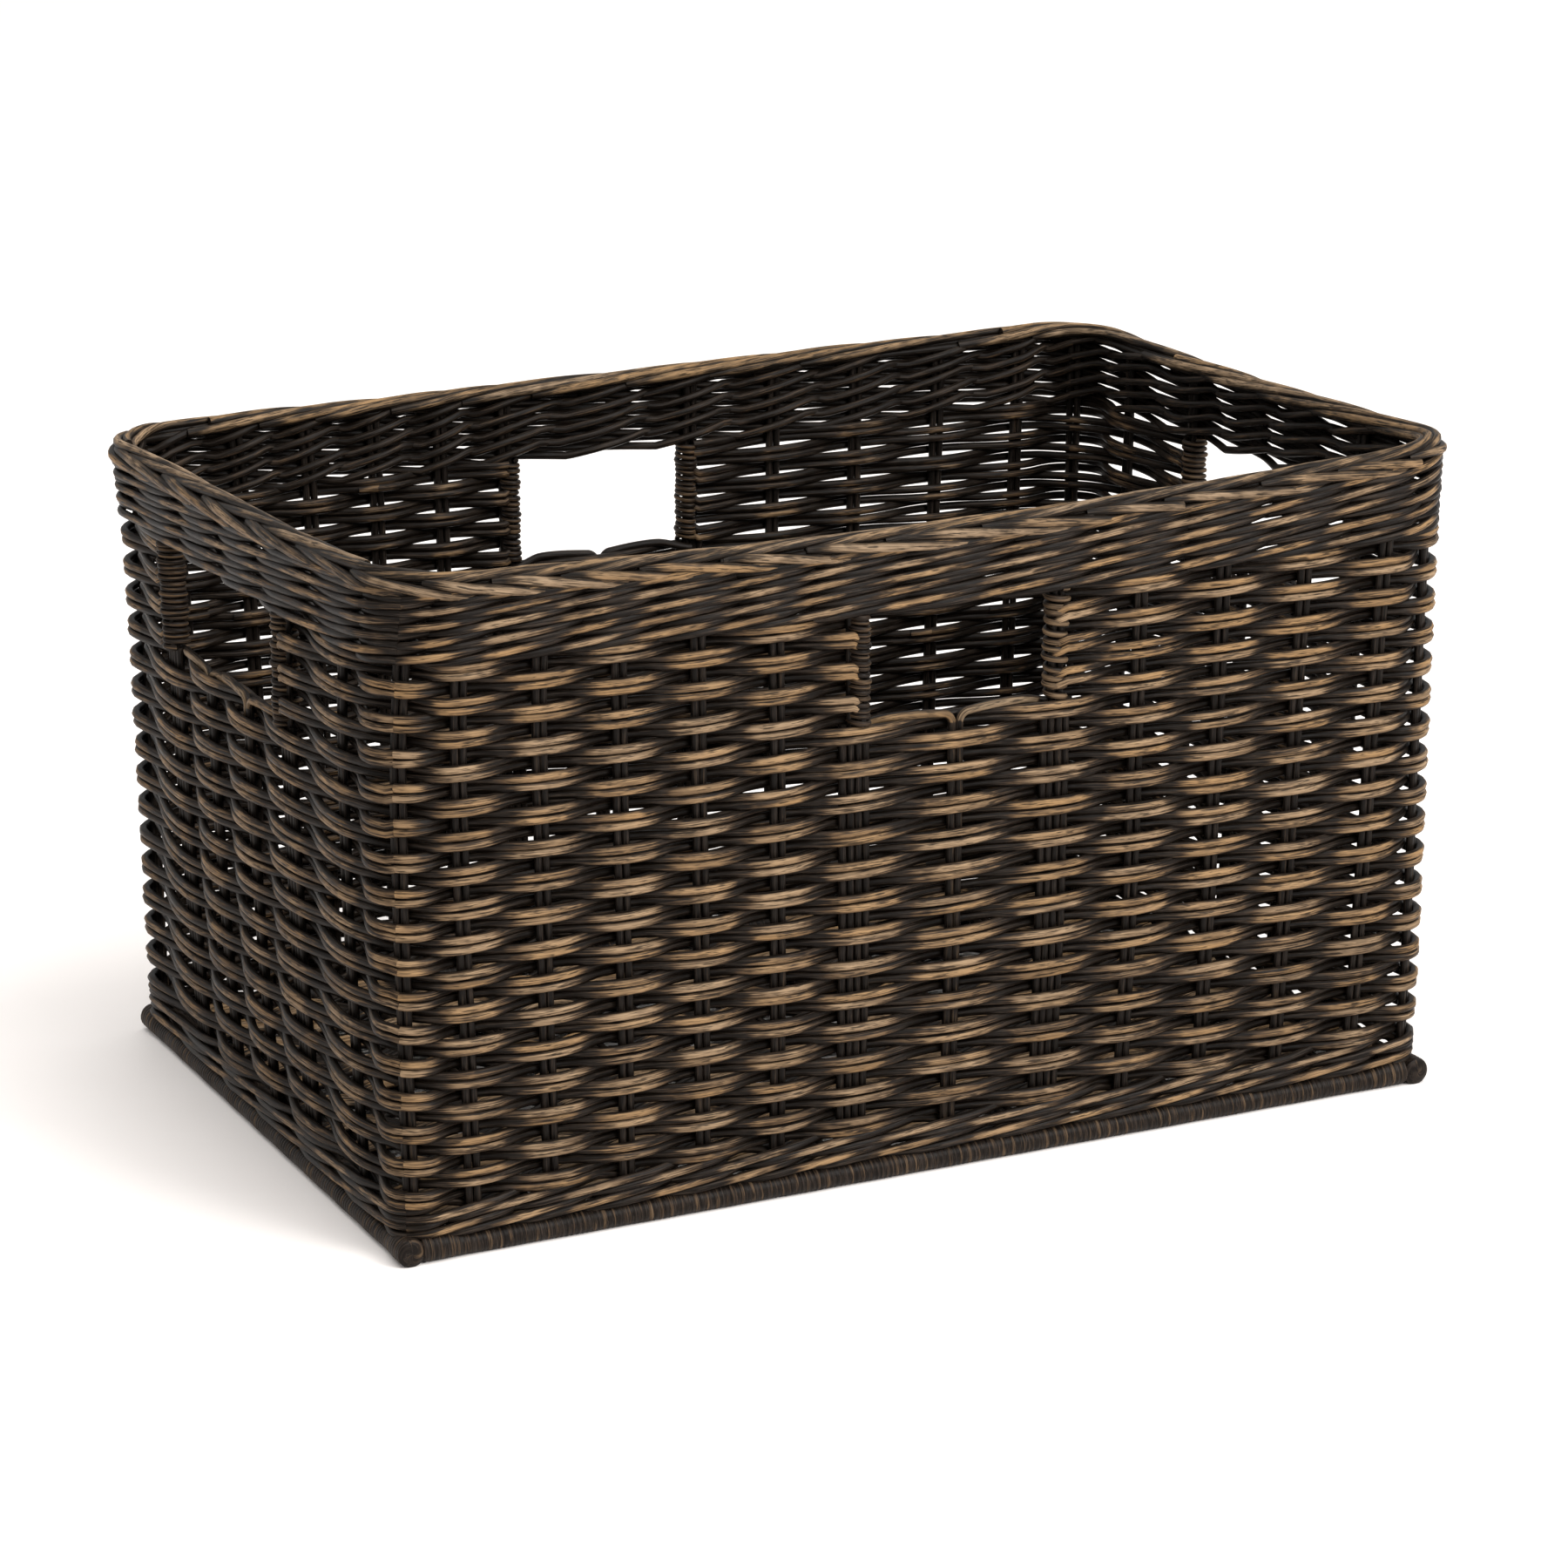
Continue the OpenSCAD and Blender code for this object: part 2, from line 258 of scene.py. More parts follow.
def wander(values, seed, size):
    """A slow random drift of about that size, the same for the same seed."""
    rng = np.random.default_rng(seed)
    drift = np.zeros_like(values)
    for period in (2.7, 5.3, 11.9):
        drift += np.sin(2 * math.pi * (values / period + rng.random()))
    return drift * size / 2


def smooth(value, low, high):
    share = np.clip((value - low) / (high - low), 0, 1)
    return share * share * (3 - 2 * share)


# ---------------------------------------------------------------- rods as meshes
def wall_wear(proud, facing):
    """How far the stain is rubbed off: most on what stands proud outside, a little inside."""
    outside = smooth(proud, -1 * MM, 7.4 * MM) * smooth(facing, -0.1, 0.75)
    inside = 0.62 * smooth(-proud, 4 * MM, 7.2 * MM) * smooth(-facing, 0.1, 0.85)
    return outside + inside


def wale_wear(proud, facing):
    """Wale rods are rubbed on the middle of each stroke and stay dark where they dive."""
    outside = smooth(proud, 4.3 * MM, 8.0 * MM) * smooth(facing, 0, 0.8)
    inside = 0.3 * smooth(-proud, 4 * MM, 7 * MM) * smooth(-facing, 0.1, 0.85)
    return outside + inside


def border_wear(proud, facing):
    return smooth(proud, -1.1 * MM, 3.1 * MM) + 0 * facing


def stake_wear(proud, facing):
    return 0.2 * smooth(np.abs(proud), 0.5 * MM, 2.5 * MM) + 0 * facing


def proud_wear(proud, facing):
    """For rods whose distance is already measured from what they lie on."""
    return smooth(proud, -0.5 * MM, 2.6 * MM) + 0 * facing


def ring_quads(first, rows, count):
    """Faces between rings of count points, one ring after another."""
    start = first + np.arange(rows - 1)[:, None] * count
    here = start + np.arange(count)
    beside = start + np.roll(np.arange(count), -1)
    return np.stack((here, beside, beside + count, here + count), -1).reshape(-1, 4)


def cap_quads(first, count):
    """Faces that close a ring of an even count of points."""
    step = np.arange(count // 2 - 1)
    last = first + count - 1
    return np.stack((first + step, first + step + 1, last - 1 - step, last - step), -1)


class Rods:
    """Gathers rods into one mesh, with what the rattan materials read at each point:
    grain (millimetres along the rod and across it), tone (one number per rod) and rub."""

    def __init__(self, sides=ROD_SIDES, rubbed=1.0):
        self.sides = sides
        self.rubbed = rubbed
        self.count = 0
        self.points, self.quads, self.grain, self.tone, self.rub = [], [], [], [], []

    def store(self, points, grain, tone, rub):
        self.points.append(points.reshape(-1, 3))
        self.grain.append(grain.reshape(-1, 3))
        self.tone.append(np.broadcast_to(tone, points.shape[:-1]).reshape(-1))
        self.rub.append(rub.reshape(-1))
        self.count += self.points[-1].shape[0]

    def add(self, path, reference, outward, distance, radius, tone, wear, start=0.0):
        """One rod. The path has one point beyond each end, used only for direction. Distance is
        the path's own distance from the wall's middle, for the wear."""
        tangent = path[2:] - path[:-2]
        tangent /= np.linalg.norm(tangent, axis=1, keepdims=True)
        path, reference = path[1:-1], reference[1:-1]
        outward, distance = outward[1:-1], distance[1:-1]
        across = np.cross(tangent, reference)
        across /= np.linalg.norm(across, axis=1, keepdims=True)
        up = np.cross(across, tangent)
        angle = np.arange(self.sides) * 2 * math.pi / self.sides
        cosine, sine = np.cos(angle), np.sin(angle)
        spoke = up[:, None] * cosine[:, None] + across[:, None] * sine[:, None]
        ring = path[:, None] + spoke * radius
        length = np.concatenate(([0], np.cumsum(np.linalg.norm(np.diff(path, axis=0), axis=1))))
        grain = np.empty(ring.shape)
        grain[..., 0] = (start + length[:, None]) / MM
        grain[..., 1] = radius * cosine / MM
        grain[..., 2] = radius * sine / MM
        facing = np.einsum("nkj,nj->nk", spoke, outward)
        rub = self.rubbed * wear(distance[:, None] + facing * radius, facing)
        self.quads.append(ring_quads(self.count, len(path), self.sides))
        self.store(ring, grain, tone, rub)
        for row, flip in ((0, True), (-1, False)):
            cap = cap_quads(self.count, self.sides)
            self.quads.append(cap[:, ::-1] if flip else cap)
            self.store(ring[row], grain[row], tone, rub[row] * 0.5)

    def build(self, name, slot, *nodes):
        """Makes the mesh, and lets it stand for its CAD nodes."""
        points = np.concatenate(self.points).astype(np.float32)
        quads = np.concatenate(self.quads).astype(np.int32)
        mesh = bpy.data.meshes.new(name)
        mesh.vertices.add(len(points))
        mesh.vertices.foreach_set("co", points.ravel())
        mesh.loops.add(quads.size)
        mesh.loops.foreach_set("vertex_index", quads.ravel())
        mesh.polygons.add(len(quads))
        mesh.polygons.foreach_set("loop_start", np.arange(0, quads.size, 4, dtype=np.int32))
        mesh.polygons.foreach_set("use_smooth", np.ones(len(quads), bool))
        for label, kind, field, parts in (
            ("grain", "FLOAT_VECTOR", "vector", self.grain),
            ("tone", "FLOAT", "value", self.tone),
            ("rub", "FLOAT", "value", self.rub),
        ):
            layer = mesh.attributes.new(label, kind, "POINT")
            layer.data.foreach_set(field, np.concatenate(parts).astype(np.float32).ravel())
        mesh.update(calc_edges=True)
        mesh.validate()
        mesh.materials.append(MATERIALS[slot])
        piece = bpy.data.objects.new(name, mesh)
        bpy.context.scene.collection.objects.link(piece)
        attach(piece, "root")
        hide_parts(*nodes)


# ---------------------------------------------------------------- materials
class Look:
    """Adds nodes to a material, one short call for each step of the look."""

    def __init__(self, name):
        self.material = bpy.data.materials.new(name)
        self.material.use_nodes = True
        self.tree = self.material.node_tree
        self.shader = self.tree.nodes["Principled BSDF"]

    def feed(self, target, value):
        if isinstance(value, bpy.types.NodeSocket):
            self.tree.links.new(value, target)
        else:
            target.default_value = value

    def attribute(self, name, output):
        node = self.tree.nodes.new("ShaderNodeAttribute")
        node.attribute_name = name
        return node.outputs[output]

    def scaled(self, vector, scale):
        node = self.tree.nodes.new("ShaderNodeMapping")
        self.feed(node.inputs["Vector"], vector)
        node.inputs["Scale"].default_value = scale
        return node.outputs["Vector"]

    def noise(self, vector, seed):
        node = self.tree.nodes.new("ShaderNodeTexNoise")
        node.noise_dimensions = "4D"
        self.feed(node.inputs["Vector"], vector)
        self.feed(node.inputs["W"], seed)
        node.inputs["Scale"].default_value = 1.0
        node.inputs["Detail"].default_value = 2.0
        node.inputs["Roughness"].default_value = 0.6
        return node.outputs["Fac"]

    def math(self, operation, a, b=0.0, c=0.0):
        node = self.tree.nodes.new("ShaderNodeMath")
        node.operation = operation
        for target, value in zip(node.inputs, (a, b, c)):
            self.feed(target, value)
        return node.outputs[0]

    def between(self, value, low, high, to_low=0.0, to_high=1.0):
        node = self.tree.nodes.new("ShaderNodeMapRange")
        node.interpolation_type = "SMOOTHSTEP"
        self.feed(node.inputs["Value"], value)
        node.inputs["From Min"].default_value = low
        node.inputs["From Max"].default_value = high
        node.inputs["To Min"].default_value = to_low
        node.inputs["To Max"].default_value = to_high
        return node.outputs["Result"]

    def mix(self, factor, a, b):
        node = self.tree.nodes.new("ShaderNodeMix")
        node.data_type = "RGBA"
        self.feed(node.inputs[0], factor)
        self.feed(node.inputs[6], a if isinstance(a, bpy.types.NodeSocket) else (*a, 1))
        self.feed(node.inputs[7], b if isinstance(b, bpy.types.NodeSocket) else (*b, 1))
        return node.outputs[2]

    def bump(self, height, depth):
        node = self.tree.nodes.new("ShaderNodeBump")
        node.inputs["Strength"].default_value = 1.0
        node.inputs["Distance"].default_value = depth
        self.feed(node.inputs["Height"], height)
        return node.outputs["Normal"]


def wear_level(look, rub, patterns):
    """Below 0 where the stain is whole, towards 1 where it is rubbed off. Each pattern raises it
    by its own share."""
    worn = look.math("MULTIPLY_ADD", rub, 1.45, -1.47)
    for pattern, share in patterns:
        worn = look.math("MULTIPLY_ADD", pattern, share, worn)
    return worn


def bare_wood(look, tone, broad, fine, brown, pale, golden):
    """The wood under the stain: pale or golden from rod to rod, with brown fibres."""
    kind = look.between(look.math("FRACT", look.math("MULTIPLY", tone, 13.7)), 0.15, 0.9)
    wood = look.mix(kind, pale, golden)
    wood = look.mix(look.between(broad, 0.48, 0.64, 0.0, 0.65), wood, brown)
    return look.mix(look.between(fine, 0.5, 0.66, 0.0, 0.45), wood, brown)


def rattan(name, dark, sheen_grey, brown, pale, golden, depth=0.3 * MM):
    """Dark stained rattan with a painted grey sheen on its fibres, rubbed back to brown and pale wood on
    its high places.
    """
    look = Look(name)
    grain = look.attribute("grain", "Vector")
    tone = look.attribute("tone", "Fac")
    rub = look.attribute("rub", "Fac")
    seed = look.math("MULTIPLY", tone, 97.0)
    fine = look.noise(look.scaled(grain, (0.05, 1.7, 1.7)), seed)
    broad = look.noise(look.scaled(grain, (0.03, 0.7, 0.7)), look.math("ADD", seed, 5.0))
    patch = look.noise(look.scaled(grain, (0.06, 0.12, 0.12)), seed)
    crack = look.noise(look.scaled(grain, (0.1, 1.15, 1.15)), look.math("ADD", seed, 9.0))
    fibre = look.between(fine, 0.4, 0.6)
    streak = look.between(broad, 0.4, 0.6)
    cloud = look.between(patch, 0.38, 0.62)
    keep = look.math("FRACT", look.math("MULTIPLY", tone, 7.3))
    worn = wear_level(look, rub, ((fibre, 0.48), (streak, 0.42), (cloud, 0.32), (keep, 0.3)))
    wood = bare_wood(look, tone, broad, fine, brown, pale, golden)
    # Painted grey sheen on the fibres of the dark stain; it fades where the rub is low, as where rods dive
    # into the wall.
    fibre_sheen = look.math("MULTIPLY", fibre, look.math("MULTIPLY_ADD", streak, 0.6, 0.4))
    fibre_sheen = look.math("MULTIPLY", fibre_sheen, look.between(worn, -1.0, -0.25, 0.12, 1.0))
    deep = look.mix(fibre_sheen, dark, sheen_grey)
    colour = look.mix(look.between(worn, -0.15, 0.35), deep, brown)
    colour = look.mix(look.between(worn, 0.15, 0.95), colour, wood)
    colour = look.mix(look.between(crack, 0.52, 0.63, 0.0, 0.8), colour, dark)
    look.feed(look.shader.inputs["Base Color"], colour)
    dull = look.between(look.math("ADD", worn, fibre), 0.0, 1.6, 0.42, 0.62)
    look.feed(look.shader.inputs["Roughness"], dull)
    look.feed(look.shader.inputs["Normal"], look.bump(look.math("MULTIPLY_ADD", crack, -0.4, fine), depth))
    look.shader.inputs["Specular IOR Level"].default_value = 0.11
    return look.material


# Colours in order: dark stain, painted grey sheen on its fibres, brown, pale wood and golden wood.
MATERIALS = {
    "rubbed_weaver": rattan(
        "rubbed_weaver", (0.0048, 0.0030, 0.0018), (0.036, 0.026, 0.019), (0.058, 0.035, 0.019),
        (0.345, 0.236, 0.140), (0.340, 0.204, 0.093),
    ),
    "stained_stake": rattan(
        "stained_stake", (0.0048, 0.0033, 0.0023), (0.030, 0.022, 0.017), (0.044, 0.028, 0.016),
        (0.240, 0.168, 0.102), (0.240, 0.148, 0.072),
    ),
    "border_rod": rattan(
        "border_rod", (0.0052, 0.0034, 0.0021), (0.042, 0.031, 0.023), (0.060, 0.038, 0.021),
        (0.325, 0.226, 0.141), (0.325, 0.197, 0.094),
    ),
    "binding_peel": rattan(
        "binding_peel", (0.0052, 0.0034, 0.0023), (0.036, 0.026, 0.020), (0.052, 0.032, 0.018),
        (0.205, 0.138, 0.080), (0.205, 0.122, 0.056), depth=0.2 * MM,
    ),
}


# ---------------------------------------------------------------- weaving
# How far rods swing out of and into the wall, with a little slack
AMPLITUDE = STAKE_R + WEAVER_R + 0.25 * MM
WALE_AMPLITUDE = STAKE_R + WALE_R + 0.15 * MM
# How close the two rods of a course lie, in rod radii, and how far they drift up and out
CLOSENESS = 0.93
DRIFT_UP = 0.35 * MM
DRIFT_OUT = 0.3 * MM
# How far a wale rod climbs and falls along its stroke
WALE_RISE = 4.4 * MM
# How far rod ends lap, in stakes, and dip behind the rod that takes over
SPLICE_LAP = 0.3
SPLICE_DIP = 1.6 * MM
# Rings of a rod's half turn round a jamb
JAMB_RINGS = 13


def wave(turn, course):
    """1 where a course lies outside a stake, -1 where it lies inside the next. The bends are a
    little fuller than a cosine's."""
    crest = np.cos(math.pi * (turn + course))
    return crest * (1 + 0.16 * (1 - crest ** 2))


def course_line(turn, course, upper, seed):
    """Centre line of one of a course's two rods, with its outward directions and distances."""
    crest = wave(turn, course)
    hand = 1 if upper else -1
    z = body_z + (course + 0.5) * course_h
    z = z + hand * (WEAVER_R * CLOSENESS + 0.12 * MM * np.abs(crest)) + wander(turn, seed, DRIFT_UP)
    distance = AMPLITUDE * crest + wander(turn, seed + 1, DRIFT_OUT)
    middle_points, outward = wall_at(turn, z)
    return middle_points + outward * distance[:, None], outward, distance


def splices(course, upper):
    """The turn counts at which this rod of a course gives way to the next, behind a stake."""
    rng = np.random.default_rng(7000 + 2 * course + upper)
    first = 2 * int(rng.integers(0, 6)) + (course + 1) % 2
    found = []
    at = first
    while at < TURN:
        found.append(at)
        at += 2 * int(rng.integers(4, 9))
    return found


def rod_spans(course, upper, first, last):
    """Stretches of rod between two turn counts, each with the number of the rod it belongs to."""
    cuts = [c for c in splices(course, upper) if first < c < last]
    edges = [first, *cuts, last]
    for low, high in zip(edges[:-1], edges[1:]):
        number = sum(1 for c in splices(course, upper) if c <= low)
        yield low, high, number % max(1, len(splices(course, upper)))


def rod_tone(course, upper, number):
    return np.random.default_rng(91 + 1000 * course + 100 * upper + number).random()


def weave_course(rods, course, first, last):
    """Both rods of a course from one turn count to another. Rod ends lap inside the wall."""
    for upper in (0, 1):
        seed = 50 * course + 10 * upper
        for low, high, number in rod_spans(course, upper, first, last):
            lap_low = SPLICE_LAP if low != first else 0
            lap_high = SPLICE_LAP if high != last else 0
            turn = turns(low - lap_low, high + lap_high)
            path, outward, distance = course_line(turn, course, upper, seed)
            dip = np.zeros_like(turn)
            if lap_low:
                dip += 1 - smooth(turn, low - lap_low, low + 2 * lap_low)
            if lap_high:
                dip += smooth(turn, high - lap_high, high + lap_high)
            path = path - outward * (dip * SPLICE_DIP)[:, None]
            tone = rod_tone(course, upper, number)
            rods.add(path, outward, outward, distance, WEAVER_R * (0.95 + 0.08 * tone), tone,
                     wall_wear, start=low * STAKE_PITCH)


def jamb_turn(jamb, away, face, reach, low_end, high_end):
    """A rod's half turn round a jamb, from the end of one course up to the start of the next: its
    path, outward directions, distances from the wall, and directions away from the jamb."""
    level = np.linspace(0, 1, JAMB_RINGS + 2)[1:-1]
    bend = math.pi * level
    _, outward = wall_at(np.full(JAMB_RINGS, float(jamb)), np.full(JAMB_RINGS, low_end[2]))
    along = rightward(outward)
    swing = face * np.linalg.norm((low_end - high_end)[:2]) / 2 * np.cos(bend)
    path = (low_end + high_end) / 2 + outward * swing[:, None]
    path -= along * (away * reach * np.sin(bend))[:, None]
    path[:, 2] = low_end[2] + (high_end[2] - low_end[2]) * level
    spoke = outward * (face * np.cos(bend))[:, None] - along * (away * np.sin(bend))[:, None]
    return path, outward, swing, spoke


def weave_beside_hole(rods, course, jamb, corner, reach):
    """A course turned round a hole's jamb stake and woven back as the next course up."""
    away = 1 if corner > jamb else -1
    face = 1 if wave(jamb, course) > 0 else -1
    for upper in (0, 1):
        seed = 50 * course + 10 * upper
        path_in, out_in, distance_in = course_line(turns(corner, jamb)[:-1], course, upper, seed)
        path_out, out_out, distance_out = course_line(turns(jamb, corner)[1:], course + 1, upper, seed)
        path_turn, out_turn, swing, spoke = jamb_turn(jamb, away, face, reach, path_in[-2], path_out[1])
        path = np.concatenate((path_in[:-1], path_turn, path_out[1:]))
        outward = np.concatenate((out_in[:-1], out_turn, out_out[1:]))
        distance = np.concatenate((distance_in[:-1], swing, distance_out[1:]))
        reference = np.concatenate((out_in[:-1] * face, spoke, -out_out[1:] * face))
        tone = rod_tone(course, upper, 3 + jamb)
        rods.add(path, reference, outward, distance, WEAVER_R * 0.97, tone, wall_wear,
                 start=jamb * STAKE_PITCH)


def wale_line(turn, row_z, strand, seed):
    """Centre line of one of a wale row's three rods: over two stakes, rising, then inside one.
    The distance given for the wear is less towards the ends of a stroke, under its neighbours."""
    phase = np.mod(turn - strand - 0.5 + wander(turn, seed + 2, 0.09), 3)
    from_hidden = np.abs(np.mod(phase - 1, 3) - 1.5)
    shape = 2 * smooth(from_hidden, 0, 0.95) - 1 + 0.16 * smooth(from_hidden, 0.9, 1.5)
    climb = np.interp(phase, (0, 2.1, 2.5, 2.9, 3), (-1.0, 1.1, 0.0, -1.1, -1.0))
    z = row_z + wale_row_h / 2 + climb * WALE_RISE + wander(turn, seed, 0.25 * MM)
    distance = WALE_AMPLITUDE * shape + wander(turn, seed + 1, 0.2 * MM)
    middle_points, outward = wall_at(turn, z)
    shielded = 3.4 * MM * smooth(np.abs(phase - 1.1), 0.2, 0.85)
    return middle_points + outward * distance[:, None], outward, distance - shielded


def weave_wale(rods, low_z, rows, side, seed):
    """Rows of three-rod wale along one side, from corner stake to corner stake."""
    for row in range(rows):
        for strand in range(3):
            number = seed + 10 * row + strand
            turn = turns(START[side], START[side + 1])
            path, outward, distance = wale_line(turn, low_z + row * wale_row_h, strand + row, number)
            tone = np.random.default_rng(number).random()
            rods.add(path, outward, outward, distance, WALE_R, tone, wale_wear,
                     start=START[side] * STAKE_PITCH)


# ---------------------------------------------------------------- stakes
# Distance of a stake's two rods from its middle
STAKE_OFFSET = 1.02 * STAKE_R
# How far the stakes reach up into the rim border
INTO_RIM = 6 * MM
# Spacing of an upright rod's rings, and the height of one step of its drift
UPRIGHT_STEP = 7 * MM
DRIFT_STEP = 30 * MM
# Bend of a cut stake, and how far it is tucked inside at its end and rubbed along the sill
SILL_BEND_R = 5.5 * MM
SILL_TUCK = 4.6 * MM
SILL_WEAR = 4.8 * MM
# How far a rod laid along the sill bows up in its middle and drops at its end
SILL_HUMP = 1.8 * MM
SILL_DROP = 2.5 * MM
# Length of a rod laid along the sill, in stakes, and its distance from the jamb it ends at
SILL_LAP = 0.93
JAMB_GAP = 0.02
# How much higher a rod lies that laps over its neighbour's
LAP_LIFT = 0.6 * MM
# Rings of a cut stake's upright part and of its bend
CUT_RINGS = 34
BEND_RINGS = 8


def upright(rods, turn, low, high, hand, seed):
    """One rod of a pair that stands in the middle of the wall."""
    z = np.linspace(low, high, max(4, round((high - low) / UPRIGHT_STEP)))
    step = z[1] - z[0]
    z = np.concatenate(([low - step], z, [high + step]))
    path, outward = wall_at(np.full(len(z), float(turn)), z)
    along = rightward(outward)
    path = path + along * (hand * STAKE_OFFSET + wander(z / DRIFT_STEP, seed, 0.25 * MM))[:, None]
    path = path + outward * wander(z / DRIFT_STEP, seed + 5, 0.2 * MM)[:, None]
    tone = np.random.default_rng(seed).random()
    rods.add(path, outward, outward, np.zeros(len(z)), STAKE_R, tone, stake_wear)


def stake_group(rods, stakes):
    """Pairs of rods from the base frame up into the rim border."""
    for turn in stakes:
        for hand in (-1, 1):
            upright(rods, turn, stake_low, rim_low + INTO_RIM, hand, 300 + 4 * turn + hand)


def side_stakes(rods, jamb):
    """Shorter rods pushed in on both sides of a jamb's pair, up to the sill."""
    for hand in (-3, 3):
        upright(rods, jamb, stake_low, sill_z + 1 * MM, hand, 310 + 4 * jamb + hand)


def bent_stake(rods, turn, hand, sill_end, lift):
    """One rod of a cut stake: up through the weave, bent over, and laid along the sill."""
    lie_z = sill_z + lift
    offset = hand * STAKE_OFFSET
    base, outward = wall_at(float(turn), sill_z)
    end, _ = wall_at(float(sill_end), sill_z)
    settled = base[2] - sill_z
    rise = np.linspace(stake_low, lie_z - SILL_BEND_R, CUT_RINGS)
    arc = np.linspace(0, math.pi / 2, BEND_RINGS + 1)[1:]
    run = np.linalg.norm(end - base) - abs(offset) - SILL_BEND_R
    lay = np.linspace(0, run, max(4, round(run / RING_STEP)))[1:]
    u = np.concatenate((
        offset + hand * SILL_BEND_R * (1 - np.cos(arc)),
        offset + hand * (SILL_BEND_R + lay),
    ))
    hump = SILL_HUMP * np.sin(math.pi * lay / run) - SILL_DROP * smooth(lay, 0.6 * run, run)
    z = np.concatenate((lie_z - SILL_BEND_R + SILL_BEND_R * np.sin(arc), lie_z + hump))
    along = rightward(outward)
    upright_part, _ = wall_at(np.full(len(rise), float(turn)), rise)
    upright_part[:, :2] += offset * along[:2]
    upright_part[:, 2] = rise + settled * (rise / sill_z)
    tuck = SILL_TUCK * np.concatenate((np.zeros(len(arc)), smooth(lay, 0.55 * run, 0.92 * run)))
    laid_part = base + u[:, None] * along - tuck[:, None] * outward
    laid_part[:, 2] = z + settled
    path = np.concatenate((upright_part, laid_part))
    path = np.concatenate(([path[0] * 2 - path[1]], path, [path[-1] * 2 - path[-2]]))
    out = np.tile(outward, (len(path), 1))
    rubbed = np.concatenate((rise > sill_z - SILL_BEND_R, z > sill_z - SILL_BEND_R))
    distance = np.concatenate(([0], np.where(rubbed, SILL_WEAR, 0), [0]))
    tone = np.random.default_rng(500 + 9 * turn + hand).random()
    rods.add(path, out, out, distance, STAKE_R * 1.08, tone, wall_wear)


def cut_stakes(rods, side):
    """Rods of neighbouring cut stakes lap over one another along the sill."""
    left, right = LEFT_JAMB[side], RIGHT_JAMB[side]
    cuts = list(range(left + 1, right))
    for number, turn in enumerate(cuts):
        to_left = left + JAMB_GAP if number == 0 else turn - SILL_LAP
        to_right = right - JAMB_GAP if number == len(cuts) - 1 else turn + SILL_LAP
        bent_stake(rods, turn, -1, to_left, LAP_LIFT if number else 0)
        bent_stake(rods, turn, 1, to_right, 0)


# ---------------------------------------------------------------- hole bindings
# Radius and spacing of a winding's rod, how unevenly its turns are spread, how much it is rubbed,
# half its width and depth round the jamb, how far it leans over the hole's edge, and how far the
# courses that turn round the jamb reach towards the hole
Winding = namedtuple("Winding", "radius pitch spread rubbed half_width half_depth lean reach")
# Over the stakes, outside the turns of the weave
COARSE = Winding(
    1.85 * MM, 5.0 * MM, 0.3, 0.5, 3.6 * MM, 2.6 * MM, 0.4 * MM, WEAVER_R + 2 * STAKE_R
)
# Over the turns of the weave
CLOSE = Winding(
    1.5 * MM, 3.3 * MM, 0.12, 0.42, 3.2 * MM, 4.9 * MM, 2.4 * MM, WEAVER_R + STAKE_R
)
# The windings that differ from the close ones
WINDINGS = {"front_hole_binding_right": COARSE}
# Points in one turn of a winding, and turns in a group
COIL_POINTS = 22
COIL_GROUP = 4


def winding_of(node):
    return WINDINGS.get(node, CLOSE)


def wind_jamb(rods, jamb, over_hole, style, seed):
    """A rod wound up a hole's jamb. Over_hole is 1 if the hole is to the jamb's right."""
    low, high = sill_z + 1 * MM, top_wale_z
    coils = (high - low) / style.pitch
    angle = np.linspace(0, 2 * math.pi * coils, int(coils * COIL_POINTS) + 3)
    climb = angle / (2 * math.pi)
    bunch = COIL_GROUP / (2 * math.pi) * np.sin(2 * math.pi * climb / COIL_GROUP)
    z = low + (high - low) * (climb + style.spread * bunch) / coils
    centre, outward = wall_at(np.full(len(z), float(jamb)), z)
    along = rightward(outward)
    tremble = 1 + wander(climb * 1.7, seed, 0.1)
    wide = (style.half_width + style.radius) * np.cos(angle) * tremble + over_hole * style.lean
    deep = (style.half_depth + style.radius) * np.sin(angle) * tremble
    path = centre + along * wide[:, None] + outward * deep[:, None]
    spoke = along * np.cos(angle)[:, None] + outward * np.sin(angle)[:, None]
    tone = np.random.default_rng(seed).random()
    lifted = np.full(len(z), (style.rubbed - 0.5) * 3 * MM)
    rods.add(path, spoke, spoke, lifted, style.radius, tone, proud_wear)


# ---------------------------------------------------------------- rim border
# At each stake one arm comes out of the middle of the rim's outer face and goes down under the
# rim, and another goes up over its top to the inside. Angles lean outwards from straight up.
BORDER_LEAN = math.radians(54)
# Width of the border's section for a height of 1
BORDER_WIDTH = 1.12
# How deep an arm's ends lie under the others
ARM_ROOT = 3.2 * MM
# Length of an arm in stakes, and how far it turns round the rim
OUTER_ARM = 2.0, math.radians(98)
INNER_ARM = 3.4, math.radians(-140)
# Shares of the arms that are cut off short, with their ends showing, and how much of them is left
CUT_OUTER = 0.1
CUT_INNER = 0.16
CUT_LENGTH = 0.55
# Rods inside the rim that the arms lie on
CORE_LEANS = np.radians((10, 130, 250))
CORE_DEPTH = 1.7 * MM
CORE_R = 2.2 * MM


def rim_place(turn, lean, depth):
    """Points at a distance from the core of the rim, and the directions away from it."""
    centre, outward = wall_at(turn, np.full(len(turn), rim_core_z))
    spoke = outward * np.sin(lean)[:, None] * BORDER_WIDTH
    spoke[:, 2] += np.cos(lean)
    return centre + spoke * depth[:, None], spoke / np.linalg.norm(spoke, axis=1, keepdims=True)


